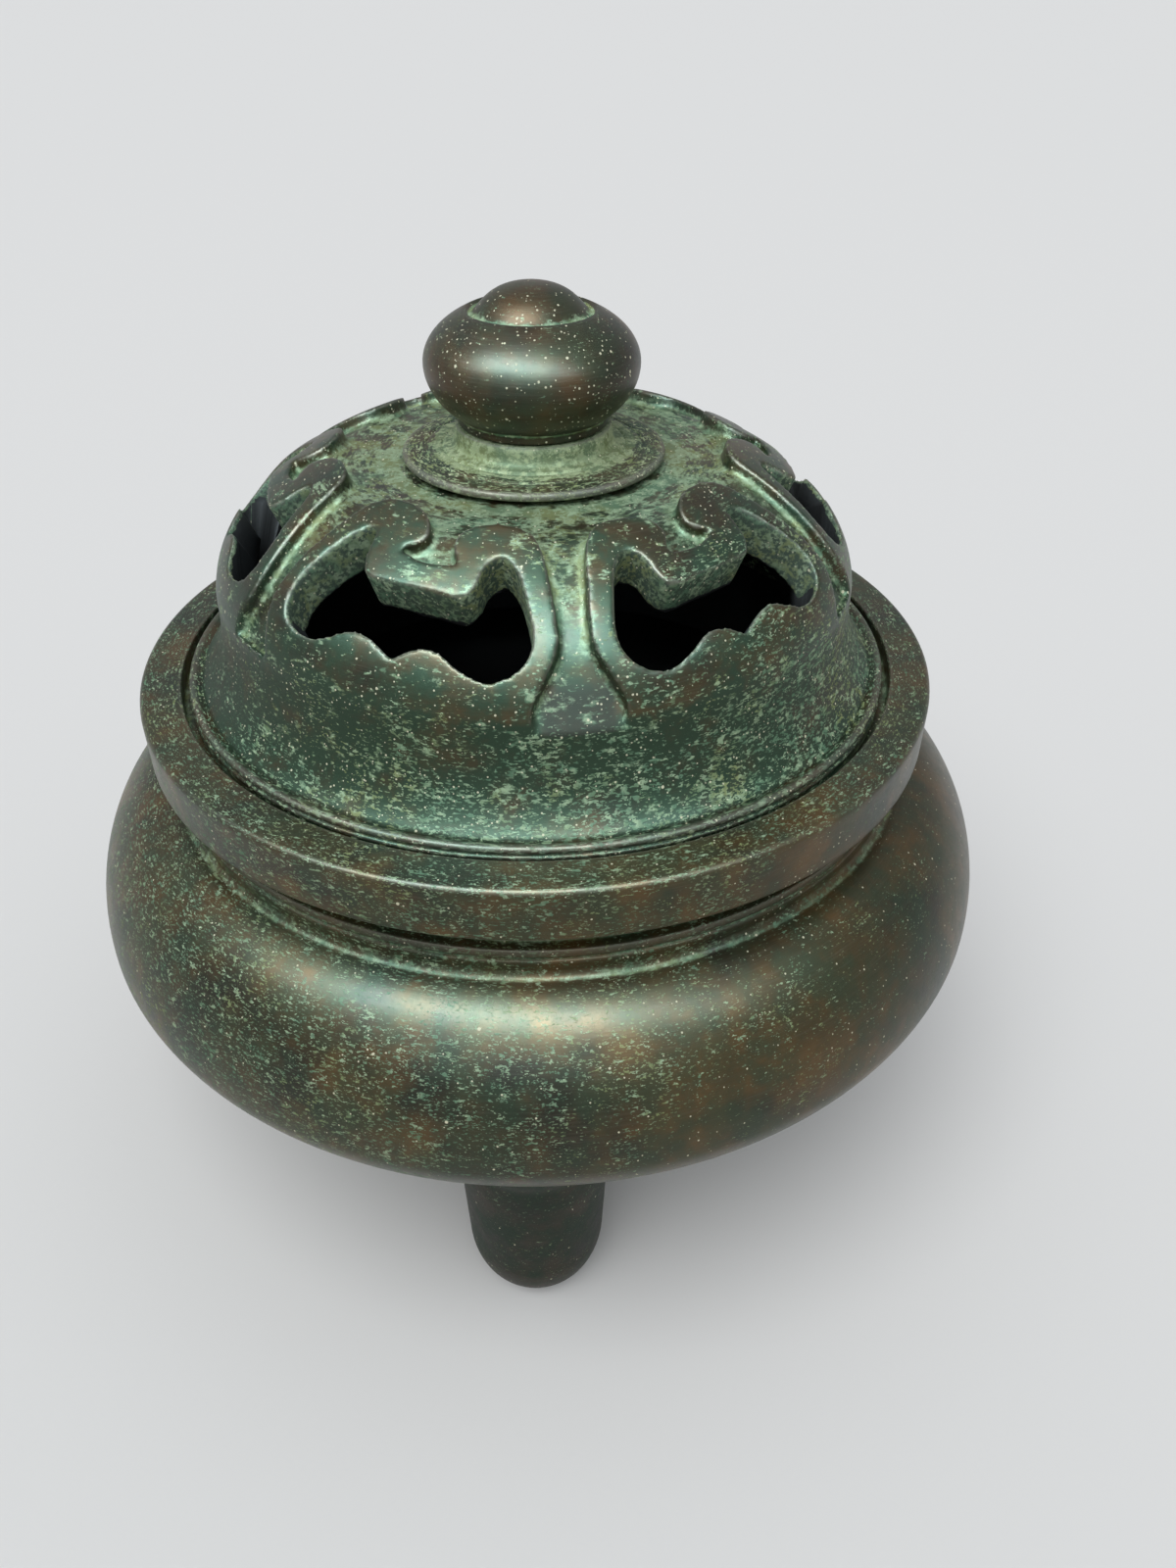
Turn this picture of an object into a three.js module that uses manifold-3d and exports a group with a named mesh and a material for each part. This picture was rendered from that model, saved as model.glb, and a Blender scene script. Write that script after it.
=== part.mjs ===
// Tripod incense burner in cast bronze: a squat round bowl on three feet, with a pierced domed lid
// that drops into the rim and lifts off by its knob. Millimetres, +Z up, the feet stand on z = 0,
// and the front foot is towards -Y. A turn angle is measured from -Y towards +X.
import * as THREE from 'three';
import { mergeVertices } from 'three/addons/utils/BufferGeometryUtils.js';
import Module from 'manifold-3d';

const wasm = await Module();
wasm.setup();

// Running and seating clearances
const seatGap = 0.25;
const socketClearance = 0.3;
const lidClearance = 0.9;

// Bowl
const rimRadius = 50;
const rimTop = 72;
const rimWidth = 4.95;
const rimBandHeight = 6.6;
const rimEdge = 0.7;
const rebateDepth = 2.5;
const ledgeWidth = 3.3;
const neckDepth = 4.1;
const collarRadius = 47.3;
const collarDrop = 10.8;
const collarHeight = 3.3;
const collarGroove = 0.6;
const collarLip = 0.6;
const bellyRadius = 60.1;
const bellyWidestHeight = 41.6;
const bellyShoulderPull = 6.6;
const bellyShoulderFall = 0.2;
const bellyUpperPull = 8.5;
const bellyLowerPull = 4.6;
const bellyBottom = 25.5;
const bellyFlatRadius = 22;
const bellyBottomPull = 30;
const bellyWall = 3.2;

// Feet
const footCount = 3;
const footInset = 17.7;
const footRootRadius = 9.5;
const footToeRadius = 8.8;
const footToeHeight = 8.5;
const footSoleRadius = 3.6;
const spigotRadius = 4;
const spigotRise = 4.4;

// Lid shell
const lidTurnDegrees = 8.7;
const lidFootWidth = 3.9;
const lidFootHeight = 1.3;
const lidBeadHeight = 1.5;
const beadGroove = 0.35;
const domeSpringHeight = 10.9;
const domeRadius = 38.8;
const domeCurveWidth = 46.8;
const domeRise = 21;
const crownDegrees = 54;
const panelRelief = 1.65;
const panelWall = 3.9;
const crownWall = 6.5;
const hubHeight = 24.6;
const hubWall = 2.4;
const skirtPull = 2.8;

// A valley's floor runs out through the dome's face at its base and lies at full depth above that.
const valleyBaseDegrees = 4.6;
const valleySunkDegrees = 16;

// Panels and windows are drawn along lines that meet at one point on the axis, this far under the rim.
// A factor says how far along its line a drawn solid starts or ends, where 1 is the panels' face.
const drawPointDepth = 55;
const panelInnerFactor = 0.9;
const windowInnerFactor = 0.88;
const drawnOuterFactor = 1.08;

// Knob, its collar and its fastening
const knobCollarRadius = 15.4;
const knobCollarEdge = 0.85;
const knobCollarHeight = 4;
const knobCollarTopRadius = 9.2;
const undercutWidth = 1.6;
const undercutHeight = 0.35;
const knobRadius = 12.3;
const knobNeckRadius = 8.7;
const knobNeckHeight = 0.9;
const knobLowerDepth = 8.1;
const knobUpperDepth = 7;
const nippleRadius = 6.9;
const nippleHeight = 3.2;
const nippleGroove = 0.45;
const nippleFootDegrees = 8;
const studRadius = 2.5;
const studGrip = 5;
const studTail = 1.2;
const washerRadius = 7;
const washerThickness = 1.2;
const nutAcrossFlats = 8;
const nutHeight = 4;

// Faces around a full turn, and along each curved stretch
const bodySides = 48;
const knobSides = 32;
const footSides = 20;
const fastenerSides = 16;
const curveSteps = 6;
const fineSteps = 4;
const outlineSteps = 1;
const mergeDistance = 1e-4;

// How far a cutting solid reaches past the faces that it opens
const cutReach = 1;

// Heights and radii that follow from the sizes above
const footCircleRadius = bellyRadius - footInset;
const mouthRadius = rimRadius - rimWidth;
const ledgeHeight = rimTop - rebateDepth;
const ledgeRadius = mouthRadius - ledgeWidth;
const lidBottom = ledgeHeight + seatGap;
const lidFootRadius = mouthRadius - lidClearance;
const domeSpring = rimTop + domeSpringHeight;
const hubTop = rimTop + hubHeight;
const hubCeiling = hubTop - hubWall;
const collarBottom = hubTop + seatGap;
const collarTop = collarBottom + knobCollarHeight;
const knobBottom = collarTop + seatGap;
const studTop = knobBottom + studGrip;
const washerTop = hubCeiling - seatGap;
const nutTop = washerTop - washerThickness - seatGap;
const studBottom = nutTop - nutHeight - studTail;
const boreRadius = studRadius + socketClearance;
const collarTopHeight = rimTop - collarDrop;
const collarFoot = collarTopHeight - collarHeight;

// One motif, from the middle of a plain valley (turn 0) to the middle of a hooked one (turn 60).
// Points are [turn, rise] in degrees; rise climbs the dome from its widest line towards the hub.
const motifDegrees = 60;
const panelStretches = [
  [[6.9, 4.6], [4.8, 13.9], [2.9, 21.6], [2.7, 27], [3.4, 35], [4.7, 42], [7.2, 45.8], [12.5, 47.5],
    [18.6, 47.3], [23.2, 45.6], [24.4, 43], [23.3, 40.6], [22, 38.5]],
  [[22, 38.5], [29, 38.2], [36.8, 40.1]],
  [[36.8, 40.1], [32.8, 41.3], [31, 43.6], [32.6, 46.5], [36.7, 48.7], [43, 49.3], [49.2, 48.5],
    [52.6, 45.5], [54.2, 41], [56, 34], [57.1, 26], [57, 18.5], [55.6, 11], [55.1, 3.5]],
  [[55.1, 3.5], [55.1, -5]],
  [[55.1, -5], [6.9, -5]],
  [[6.9, -5], [6.9, 4.6]],
];
const windowStretches = [
  [[29.5, 16.9], [26.3, 19.8], [22.3, 20.2], [18.3, 16.6], [13.8, 14], [9.2, 17], [7, 23], [7.8, 31],
    [9.8, 37.5], [13, 40.5], [16.2, 38.6], [17.4, 34.5], [20, 31.8], [26.6, 32.5], [34, 32.7],
    [39.4, 33], [42, 36.2], [43.2, 40.4], [45, 42.3], [48.6, 39.6], [51.6, 33], [53.2, 26], [52.4, 20],
    [49.4, 16.8], [45, 16], [41.2, 18.4], [37.2, 21], [33.2, 20], [29.5, 16.9]],
];

// A closed mesh becomes a solid once its doubled points and the flat triangles they leave are gone.
function toSolid(geometry) {
  const bare = geometry.clone();
  bare.deleteAttribute('normal');
  bare.deleteAttribute('uv');
  const merged = mergeVertices(bare, mergeDistance);
  const corners = merged.index.array;
  const kept = [];
  for (let i = 0; i < corners.length; i += 3) {
    const [a, b, c] = [corners[i], corners[i + 1], corners[i + 2]];
    if (a !== b && b !== c && c !== a) kept.push(a, b, c);
  }
  const vertProperties = new Float32Array(merged.attributes.position.array);
  const triVerts = new Uint32Array(kept);
  return new wasm.Manifold(new wasm.Mesh({ numProp: 3, vertProperties, triVerts }));
}

function toGeometry(solid) {
  const mesh = solid.getMesh();
  const geometry = new THREE.BufferGeometry();
  geometry.setAttribute('position', new THREE.BufferAttribute(new Float32Array(mesh.vertProperties), 3));
  geometry.setIndex(new THREE.BufferAttribute(new Uint32Array(mesh.triVerts), 1));
  return geometry;
}

// Points are [radius, height], listed anticlockwise, starting and ending on the axis or at one point.
function turned(profile, sides) {
  const lathe = new THREE.LatheGeometry(profile.map(([r, z]) => new THREE.Vector2(r, z)), sides);
  return toSolid(lathe.rotateX(Math.PI / 2));
}

function rod(radius, bottom, top, sides) {
  return turned([[0, bottom], [radius, bottom], [radius, top], [0, top]], sides);
}

function radians(degrees) {
  return THREE.MathUtils.degToRad(degrees);
}

// An ellipse stretch as [radius, height] points; 0 degrees is outwards and 90 degrees is up.
function arc(centreRadius, centreHeight, width, height, from, to, steps) {
  const points = [];
  for (let i = 0; i <= steps; i++) {
    const angle = radians(from + (to - from) * i / steps);
    points.push([centreRadius + width * Math.cos(angle), centreHeight + height * Math.sin(angle)]);
  }
  return points;
}

function bend(start, pull, end, steps) {
  const points = [start, pull, end].map(([r, z]) => new THREE.Vector2(r, z));
  const curve = new THREE.QuadraticBezierCurve(...points);
  return curve.getPoints(steps).map((point) => [point.x, point.y]);
}

// The belly from its shoulder under the collar to the flat of its bottom, moved inwards by a wall
function bellyStretch(inset) {
  const shoulder = new THREE.Vector2(collarRadius + collarGroove, collarFoot);
  const widest = new THREE.Vector2(bellyRadius, bellyWidestHeight);
  const flat = new THREE.Vector2(bellyFlatRadius, bellyBottom);
  const upper = new THREE.CubicBezierCurve(
    shoulder,
    new THREE.Vector2(shoulder.x + bellyShoulderPull, shoulder.y - bellyShoulderFall),
    new THREE.Vector2(widest.x, widest.y + bellyUpperPull),
    widest,
  );
  const lower = new THREE.CubicBezierCurve(
    widest,
    new THREE.Vector2(widest.x, widest.y - bellyLowerPull),
    new THREE.Vector2(flat.x + bellyBottomPull, flat.y),
    flat,
  );
  const points = [];
  for (const [curve, first] of [[upper, 0], [lower, 1]]) {
    for (let i = first; i <= curveSteps; i++) {
      const point = curve.getPoint(i / curveSteps);
      const along = curve.getTangent(i / curveSteps);
      points.push([point.x + inset * along.y, point.y - inset * along.x]);
    }
  }
  return points;
}

function onTurn(solid, radius, turn) {
  const angle = radians(turn);
  return solid.translate([radius * Math.sin(angle), -radius * Math.cos(angle), 0]);
}

const footTurns = Array.from({ length: footCount }, (_, i) => i * 360 / footCount);

function makeBowl() {
  const neckRadius = rimRadius - neckDepth;
  const bandBottom = rimTop - rimBandHeight;
  const outside = [
    [0, bellyBottom],
    ...bellyStretch(0).reverse(),
    [collarRadius, collarFoot + collarGroove],
    [collarRadius, collarTopHeight - collarLip - collarGroove],
    [collarRadius - collarGroove, collarTopHeight - collarLip - collarGroove / 2],
    [collarRadius, collarTopHeight - collarLip],
    [collarRadius, collarTopHeight],
    [neckRadius, collarTopHeight + collarGroove],
    [neckRadius, bandBottom],
    [rimRadius - rimEdge, bandBottom],
    [rimRadius, bandBottom + rimEdge],
    ...arc(rimRadius - rimEdge, rimTop - rimEdge, rimEdge, rimEdge, 0, 90, 2),
  ];
  const inside = [
    [mouthRadius, rimTop],
    [mouthRadius, ledgeHeight],
    [ledgeRadius, ledgeHeight],
    [ledgeRadius, collarFoot - bellyWall],
    ...bellyStretch(bellyWall),
    [0, bellyBottom + bellyWall],
  ];
  let bowl = turned([...outside, ...inside], bodySides);
  const socketTop = bellyBottom + spigotRise + socketClearance;
  for (const turn of footTurns) {
    const socket = rod(spigotRadius + socketClearance, bellyBottom - cutReach, socketTop, fastenerSides);
    bowl = bowl.subtract(onTurn(socket, footCircleRadius, turn));
  }
  return bowl;
}

// A foot follows the belly's underside, with a spigot that stands in the bowl's socket.
function makeFoot(turn) {
  const leg = turned([
    [0, 0],
    ...arc(footSoleRadius, footToeHeight, footToeRadius - footSoleRadius, footToeHeight, -90, 0, fineSteps),
    [footRootRadius, bellyBottom],
    [footRootRadius, bellyWidestHeight],
    [0, bellyWidestHeight],
  ], footSides);
  const belly = turned([
    [0, bellyBottom - seatGap],
    ...bellyStretch(-seatGap).reverse(),
    [0, collarFoot],
  ], bodySides);
  const spigot = rod(spigotRadius, bellyBottom - cutReach, bellyBottom + spigotRise, fastenerSides);
  const cut = onTurn(leg, footCircleRadius, turn).subtract(belly);
  return cut.add(onTurn(spigot, footCircleRadius, turn));
}

const domeCentreRadius = domeRadius - domeCurveWidth;

// The rise at which the dome, sunk by a depth, comes up to a height
function riseAt(height, sink) {
  return THREE.MathUtils.radToDeg(Math.asin((height - domeSpring) / (domeRise - sink)));
}

function domeStretch(from, to, sink, steps, crownSink = sink) {
  return arc(domeCentreRadius, domeSpring, domeCurveWidth - sink, domeRise - crownSink, from, to, steps);
}

function makeLidShell() {
  const beadBottom = lidBottom + lidFootHeight;
  const beadTop = beadBottom + lidBeadHeight;
  const beadMiddle = (beadTop + beadBottom) / 2;
  const innerRadius = domeRadius - panelWall;
  const footInner = lidFootRadius - lidFootWidth;
  const crown = domeStretch(0, crownDegrees, 0, curveSteps + 2);
  const outside = [
    [lidFootRadius, lidBottom],
    [lidFootRadius, beadBottom],
    ...arc(lidFootRadius - lidBeadHeight / 2, beadMiddle, lidBeadHeight / 2, lidBeadHeight / 2, 0, 90, 3),
    ...bend([lidFootRadius - lidBeadHeight, beadTop - beadGroove], [domeRadius, beadTop + skirtPull],
      [domeRadius, domeSpring], curveSteps),
    ...crown.slice(1),
    [0, crown.at(-1)[1]],
  ];
  const inside = [
    [0, hubCeiling],
    ...domeStretch(riseAt(hubCeiling, crownWall), 0, panelWall, curveSteps, crownWall),
    ...bend([innerRadius, domeSpring], [innerRadius, beadTop], [footInner, beadBottom], fineSteps).slice(1),
    [footInner, lidBottom],
  ];
  return turned([...inside, ...outside], bodySides);
}

// A round stretch runs as one smooth curve through its points; corners fall between stretches.
function smoothOutline(stretches) {
  return stretches.flatMap((stretch) => {
    const curve = new THREE.SplineCurve(stretch.map(([turn, rise]) => new THREE.Vector2(turn, rise)));
    return curve.getPoints((stretch.length - 1) * outlineSteps).slice(0, -1);
  });
}

// A point on the dome, moved along its line from the draw point by a factor
function drawnPoint(turn, rise, factor) {
  const drawHeight = rimTop - drawPointDepth;
  const radius = domeCentreRadius + domeCurveWidth * Math.cos(radians(rise));
  const height = domeSpring + domeRise * Math.sin(radians(rise));
  const angle = radians(turn);
  return [
    radius * factor * Math.sin(angle),
    -radius * factor * Math.cos(angle),
    drawHeight + (height - drawHeight) * factor,
  ];
}

// The solid swept by an outline on the dome, from one factor to another
function drawnSolid(outline, valleyTurn, side, inner, outer) {
  const flat = outline.map((point) => new THREE.Vector2(valleyTurn + side * point.x, point.y));
  if (THREE.ShapeUtils.isClockWise(flat)) flat.reverse();
  const count = flat.length;
  const positions = [inner, outer].flatMap((factor) => flat.flatMap((p) => drawnPoint(p.x, p.y, factor)));
  const faces = [];
  for (const [a, b, c] of THREE.ShapeUtils.triangulateShape(flat, [])) {
    const upright = THREE.ShapeUtils.area([flat[a], flat[b], flat[c]]) > 0;
    const [p, q, r] = upright ? [a, b, c] : [a, c, b];
    faces.push(p, r, q, count + p, count + q, count + r);
  }
  for (let i = 0; i < count; i++) {
    const next = (i + 1) % count;
    faces.push(i, next, count + next, i, count + next, count + i);
  }
  const geometry = new THREE.BufferGeometry();
  geometry.setAttribute('position', new THREE.BufferAttribute(new Float32Array(positions), 3));
  geometry.setIndex(faces);
  return toSolid(geometry);
}

// Motifs stand in mirrored pairs, one on each side of every plain valley.
function eachMotif(work) {
  for (let valley = 0; valley < 360; valley += 2 * motifDegrees) {
    for (const side of [-1, 1]) work(lidTurnDegrees + valley, side);
  }
}

// All that lies over the valleys' floors and the hub, from which the panels are then kept
function makeValleyCut() {
  const top = domeSpring + domeRise + cutReach;
  const floor = domeStretch(riseAt(hubTop, panelRelief), valleySunkDegrees, panelRelief, curveSteps);
  const [sunkRadius, sunkHeight] = floor.at(-1);
  const [baseRadius, baseHeight] = domeStretch(valleyBaseDegrees, valleyBaseDegrees, 0, 1)[0];
  const outRadius = 2 * baseRadius - sunkRadius;
  const outHeight = 2 * baseHeight - sunkHeight;
  return turned([[0, hubTop], ...floor, [outRadius, outHeight], [outRadius, top], [0, top]], bodySides);
}

function makeLid() {
  const panelOutline = smoothOutline(panelStretches);
  const windowOutline = smoothOutline(windowStretches);
  let valleys = makeValleyCut();
  const windows = [];
  eachMotif((valley, side) => {
    valleys = valleys.subtract(drawnSolid(panelOutline, valley, side, panelInnerFactor, drawnOuterFactor));
    windows.push(drawnSolid(windowOutline, valley, side, windowInnerFactor, drawnOuterFactor));
  });
  let lid = makeLidShell().subtract(valleys);
  for (const window of windows) lid = lid.subtract(window);
  return lid.subtract(rod(boreRadius, hubCeiling - cutReach, hubTop + cutReach, fastenerSides));
}

function makeKnobCollar() {
  const footRadius = knobCollarRadius - undercutWidth;
  const edgeBottom = collarBottom + undercutHeight;
  const edgeTop = edgeBottom + knobCollarEdge;
  const round = knobCollarEdge / 2;
  return turned([
    [boreRadius, collarBottom],
    [footRadius, collarBottom],
    [footRadius, edgeBottom],
    [knobCollarRadius, edgeBottom],
    ...arc(knobCollarRadius - round, edgeTop - round, round, round, 0, 90, 3),
    ...bend([knobCollarRadius - 2 * round, edgeTop], [knobCollarTopRadius + round, edgeTop + round],
      [knobCollarTopRadius, collarTop - round], fineSteps),
    [knobCollarTopRadius - round, collarTop],
    [boreRadius, collarTop],
    [boreRadius, collarBottom],
  ], knobSides);
}

function makeKnob() {
  const neckTop = knobBottom + knobNeckHeight;
  const ballAngle = THREE.MathUtils.radToDeg(Math.acos(knobNeckRadius / knobRadius));
  const ballHeight = neckTop + knobLowerDepth * Math.sin(radians(ballAngle));
  const grooveAngle = THREE.MathUtils.radToDeg(Math.acos((nippleRadius + nippleGroove) / knobRadius));
  const shoulder = ballHeight + knobUpperDepth * Math.sin(radians(grooveAngle));
  const knob = turned([
    [0, knobBottom],
    [knobNeckRadius, knobBottom],
    ...arc(0, ballHeight, knobRadius, knobLowerDepth, -ballAngle, 0, curveSteps),
    ...arc(0, ballHeight, knobRadius, knobUpperDepth, 0, grooveAngle, fineSteps).slice(1),
    [nippleRadius, shoulder - nippleGroove],
    ...arc(0, shoulder - nippleGroove, nippleRadius - nippleGroove / 2, nippleHeight, nippleFootDegrees, 90,
      fineSteps),
  ], knobSides);
  return knob.subtract(rod(boreRadius, knobBottom - cutReach, studTop + socketClearance, fastenerSides));
}

function makeStud() {
  return rod(studRadius, studBottom, studTop, fastenerSides);
}

function makeWasher() {
  const disc = rod(washerRadius, washerTop - washerThickness, washerTop, fastenerSides);
  const bore = rod(boreRadius, washerTop - washerThickness - cutReach, washerTop + cutReach, fastenerSides);
  return disc.subtract(bore);
}

function makeNut() {
  const hexagon = rod(nutAcrossFlats / Math.sqrt(3), nutTop - nutHeight, nutTop, 6);
  const bore = rod(boreRadius, nutTop - nutHeight - cutReach, nutTop + cutReach, fastenerSides);
  return hexagon.subtract(bore);
}

const burner = new THREE.Group();

function addPiece(name, solid, color, roughness, metalness) {
  const material = new THREE.MeshStandardMaterial({ color, roughness, metalness });
  const mesh = new THREE.Mesh(toGeometry(solid), material);
  mesh.name = name;
  burner.add(mesh);
}

const footNames = ['foot_front', 'foot_rear_right', 'foot_rear_left'];
addPiece('bowl', makeBowl(), 0x4a3c30, 0.42, 0.85);
footTurns.forEach((turn, i) => addPiece(footNames[i], makeFoot(turn), 0x3f3a2e, 0.5, 0.85));
addPiece('lid', makeLid(), 0x53473a, 0.48, 0.8);
addPiece('knob_collar', makeKnobCollar(), 0x6f6c4c, 0.6, 0.6);
addPiece('knob', makeKnob(), 0x4e3a2c, 0.35, 0.85);
addPiece('knob_stud', makeStud(), 0x7a6236, 0.5, 0.9);
addPiece('knob_washer', makeWasher(), 0x7d6840, 0.5, 0.9);
addPiece('knob_nut', makeNut(), 0x80693c, 0.5, 0.9);

export default burner;
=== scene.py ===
import math

import bmesh
import bpy
from mathutils import Matrix, Vector
from mathutils.geometry import interpolate_bezier
from mathutils.kdtree import KDTree


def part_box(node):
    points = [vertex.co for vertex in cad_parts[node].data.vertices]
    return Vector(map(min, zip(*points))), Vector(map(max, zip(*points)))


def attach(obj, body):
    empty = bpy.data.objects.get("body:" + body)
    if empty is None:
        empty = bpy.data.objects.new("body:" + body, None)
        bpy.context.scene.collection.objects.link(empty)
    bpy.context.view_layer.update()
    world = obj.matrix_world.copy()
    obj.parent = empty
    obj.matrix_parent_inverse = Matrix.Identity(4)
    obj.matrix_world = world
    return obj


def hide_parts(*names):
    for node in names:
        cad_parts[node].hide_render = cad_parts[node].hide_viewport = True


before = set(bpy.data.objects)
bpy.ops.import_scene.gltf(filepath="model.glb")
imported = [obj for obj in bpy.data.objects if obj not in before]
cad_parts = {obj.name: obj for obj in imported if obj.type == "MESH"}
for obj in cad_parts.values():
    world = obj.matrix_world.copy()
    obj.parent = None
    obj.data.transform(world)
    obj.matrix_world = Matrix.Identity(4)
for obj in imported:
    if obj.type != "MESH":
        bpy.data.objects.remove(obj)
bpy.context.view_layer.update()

# A tripod incense burner in patinated bronze: a squat round bowl on three feet, a pierced domed lid
# and a ball knob. Shapes are worked out in millimetres, +Z up, and turned into metres at the end.
# A turn is measured from the front foot (-Y) towards +X.
mm = 0.001
scene = bpy.context.scene


def nodeBox(name):
    low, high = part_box(name)
    return low / mm, high / mm


# Outlines

def arc(centre, width, height, start, end, steps):
    # an ellipse stretch: 0 degrees is outwards, 90 is up
    points = []
    for i in range(steps + 1):
        angle = math.radians(start + (end - start) * i / steps)
        points.append((centre[0] + width * math.cos(angle), centre[1] + height * math.sin(angle)))
    return points


def sweep(start, startPull, endPull, end, steps):
    # a smooth stretch that leaves start towards startPull and reaches end from endPull
    knots = [Vector(point) for point in (start, startPull, endPull, end)]
    return [tuple(point) for point in interpolate_bezier(*knots, steps + 1)]


def throughPoints(points, steps):
    # a smooth stretch through every point, without its last one
    knots = [Vector(point) for point in points]
    line = []
    for i in range(len(knots) - 1):
        before = knots[max(i - 1, 0)]
        start, end = knots[i], knots[i + 1]
        after = knots[min(i + 2, len(knots) - 1)]
        leave, reach = start + (end - before) / 6, end - (after - start) / 6
        line += interpolate_bezier(start, leave, reach, end, steps + 1)[:-1]
    return line


# Meshes

# a fine reach for crisp seams and edges, a broad one for soft hollows
hollowReaches = {"hollow": 0.4, "broadHollow": 1.5}


def wire(profile, closed, longest):
    # the profile's points and edges, with its corners rounded and its long edges split
    bm = bmesh.new()
    corners = [bm.verts.new((point[0], 0, point[1])) for point in profile]
    pairs = list(zip(corners, corners[1:]))
    if closed:
        pairs.append((corners[-1], corners[0]))
    for pair in pairs:
        bm.edges.new(pair)
    rounded = {}
    for corner, point in zip(corners, profile):
        if len(point) > 2:
            rounded.setdefault(point[2], []).append(corner)
    for size, chosen in rounded.items():
        bmesh.ops.bevel(bm, geom=chosen, offset=size, offset_type="OFFSET", affect="VERTICES",
                        segments=4, profile=0.5, material=-1)
    for edge in bm.edges[:]:
        cuts = int(edge.calc_length() / longest)
        if cuts:
            bmesh.ops.subdivide_edges(bm, edges=[edge], cuts=cuts)
    return bm


def turned(profile, steps, closed=False, longest=1.0):
    # a profile of (radius, height) or (radius, height, rounding) spun round the burner's axis
    bm = wire(profile, closed, longest)
    places = KDTree(len(bm.verts))
    for i, point in enumerate(bm.verts):
        places.insert(point.co, i)
    places.balance()
    offsets = {name: wireOffsets(bm, places, reach) for name, reach in hollowReaches.items()}
    bmesh.ops.spin(bm, geom=bm.verts[:] + bm.edges[:], cent=(0, 0, 0), axis=(0, 0, 1),
                   angle=math.tau, steps=steps, use_merge=True)
    bmesh.ops.remove_doubles(bm, verts=bm.verts, dist=0.001)
    bmesh.ops.recalc_face_normals(bm, faces=bm.faces)
    bm.normal_update()
    layers = {name: bm.verts.layers.float.new(name) for name in hollowReaches}
    for point in bm.verts:
        radius = math.hypot(point.co.x, point.co.y)
        nearest = places.find((radius, 0, point.co.z))[1]
        outward = point.normal.dot(Vector((point.co.x, point.co.y, 0)).normalized())
        for name, layer in layers.items():
            offset = offsets[name][nearest]
            point[layer] = offset.x * outward + offset.z * point.normal.z
    return bm


def wireOffsets(bm, places, reach):
    # from each point of a wire to the mean of the wire about it, in shares of the reach
    lengths = [sum(edge.calc_length() for edge in point.link_edges) for point in bm.verts]
    offsets = []
    for point in bm.verts:
        total, mean = 0.0, Vector()
        for place, i, gap in places.find_range(point.co, 3 * reach):
            weight = lengths[i] * math.exp(-0.5 * (gap / reach) ** 2)
            total += weight
            mean += place * weight
        offsets.append((mean / total - point.co) / reach)
    return offsets


def holder(bm):
    mesh = bpy.data.meshes.new("work")
    bm.to_mesh(mesh)
    bm.free()
    made = bpy.data.objects.new("work", mesh)
    scene.collection.objects.link(made)
    return made


def applied(made, others=()):
    # the mesh that an object's modifiers give; the working objects go
    result = bmesh.new()
    result.from_object(made, bpy.context.evaluated_depsgraph_get())
    for used in (made, *others):
        mesh = used.data
        bpy.data.objects.remove(used)
        bpy.data.meshes.remove(mesh)
    return result


def combined(base, tool, operation):
    target, other = holder(base), holder(tool)
    cut = target.modifiers.new("cut", "BOOLEAN")
    cut.operation = operation
    cut.solver = "MANIFOLD"
    cut.object = other
    return applied(target, [other])


def remeshed(base, voxel):
    target = holder(base)
    remesh = target.modifiers.new("remesh", "REMESH")
    remesh.mode = "VOXEL"
    remesh.voxel_size = voxel
    return applied(target)


def triangles(bm):
    return sum(len(face.verts) - 2 for face in bm.faces)


def smoothed(bm, passes):
    for _ in range(passes):
        bmesh.ops.smooth_vert(bm, verts=bm.verts, factor=0.5, use_axis_x=True, use_axis_y=True,
                              use_axis_z=True)


def markHollows(bm, voxel):
    # how far each point lies under its smoothed neighbourhood: hollows are positive, edges negative
    for name, reach in hollowReaches.items():
        soft = bm.copy()
        smoothed(soft, int((2 * reach / voxel) ** 2))
        bm.normal_update()
        layer = bm.verts.layers.float.new(name)
        for point, target in zip(bm.verts, soft.verts):
            point[layer] = (target.co - point.co).dot(point.normal) / reach
        soft.free()


def markInside(bm, centre, top):
    # faces that look towards a centre, under a height, are the sooty inside
    layer = bm.verts.layers.float.new("inside")
    for point in bm.verts:
        inwards = (centre - point.co).normalized().dot(point.normal)
        point[layer] = 1.0 if inwards > 0.15 and point.co.z < top else 0.0


def makePiece(name, bm, finish, body, stands=()):
    bmesh.ops.scale(bm, vec=(mm, mm, mm), verts=bm.verts)
    mesh = bpy.data.meshes.new(name)
    bm.to_mesh(mesh)
    bm.free()
    mesh.shade_smooth()
    mesh.materials.append(finish)
    piece = bpy.data.objects.new(name, mesh)
    scene.collection.objects.link(piece)
    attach(piece, body)
    if stands:
        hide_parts(*stands)
    return piece


# Shaders

class Wire:
    # a socket that can be used in sums; each sum adds its Math node
    def __init__(self, finish, socket):
        self.finish = finish
        self.socket = socket

    def maths(self, operation, *others):
        values = {i: value for i, value in enumerate((self, *others))}
        return self.finish.node("Math", {"operation": operation}, values)

    def __add__(self, other):
        return self.maths("ADD", other)

    def __sub__(self, other):
        return self.maths("SUBTRACT", other)

    def __rsub__(self, other):
        return self.finish.node("Math", {"operation": "SUBTRACT"}, {0: other, 1: self})

    def __mul__(self, other):
        return self.maths("MULTIPLY", other)

    __radd__ = __add__
    __rmul__ = __mul__


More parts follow.
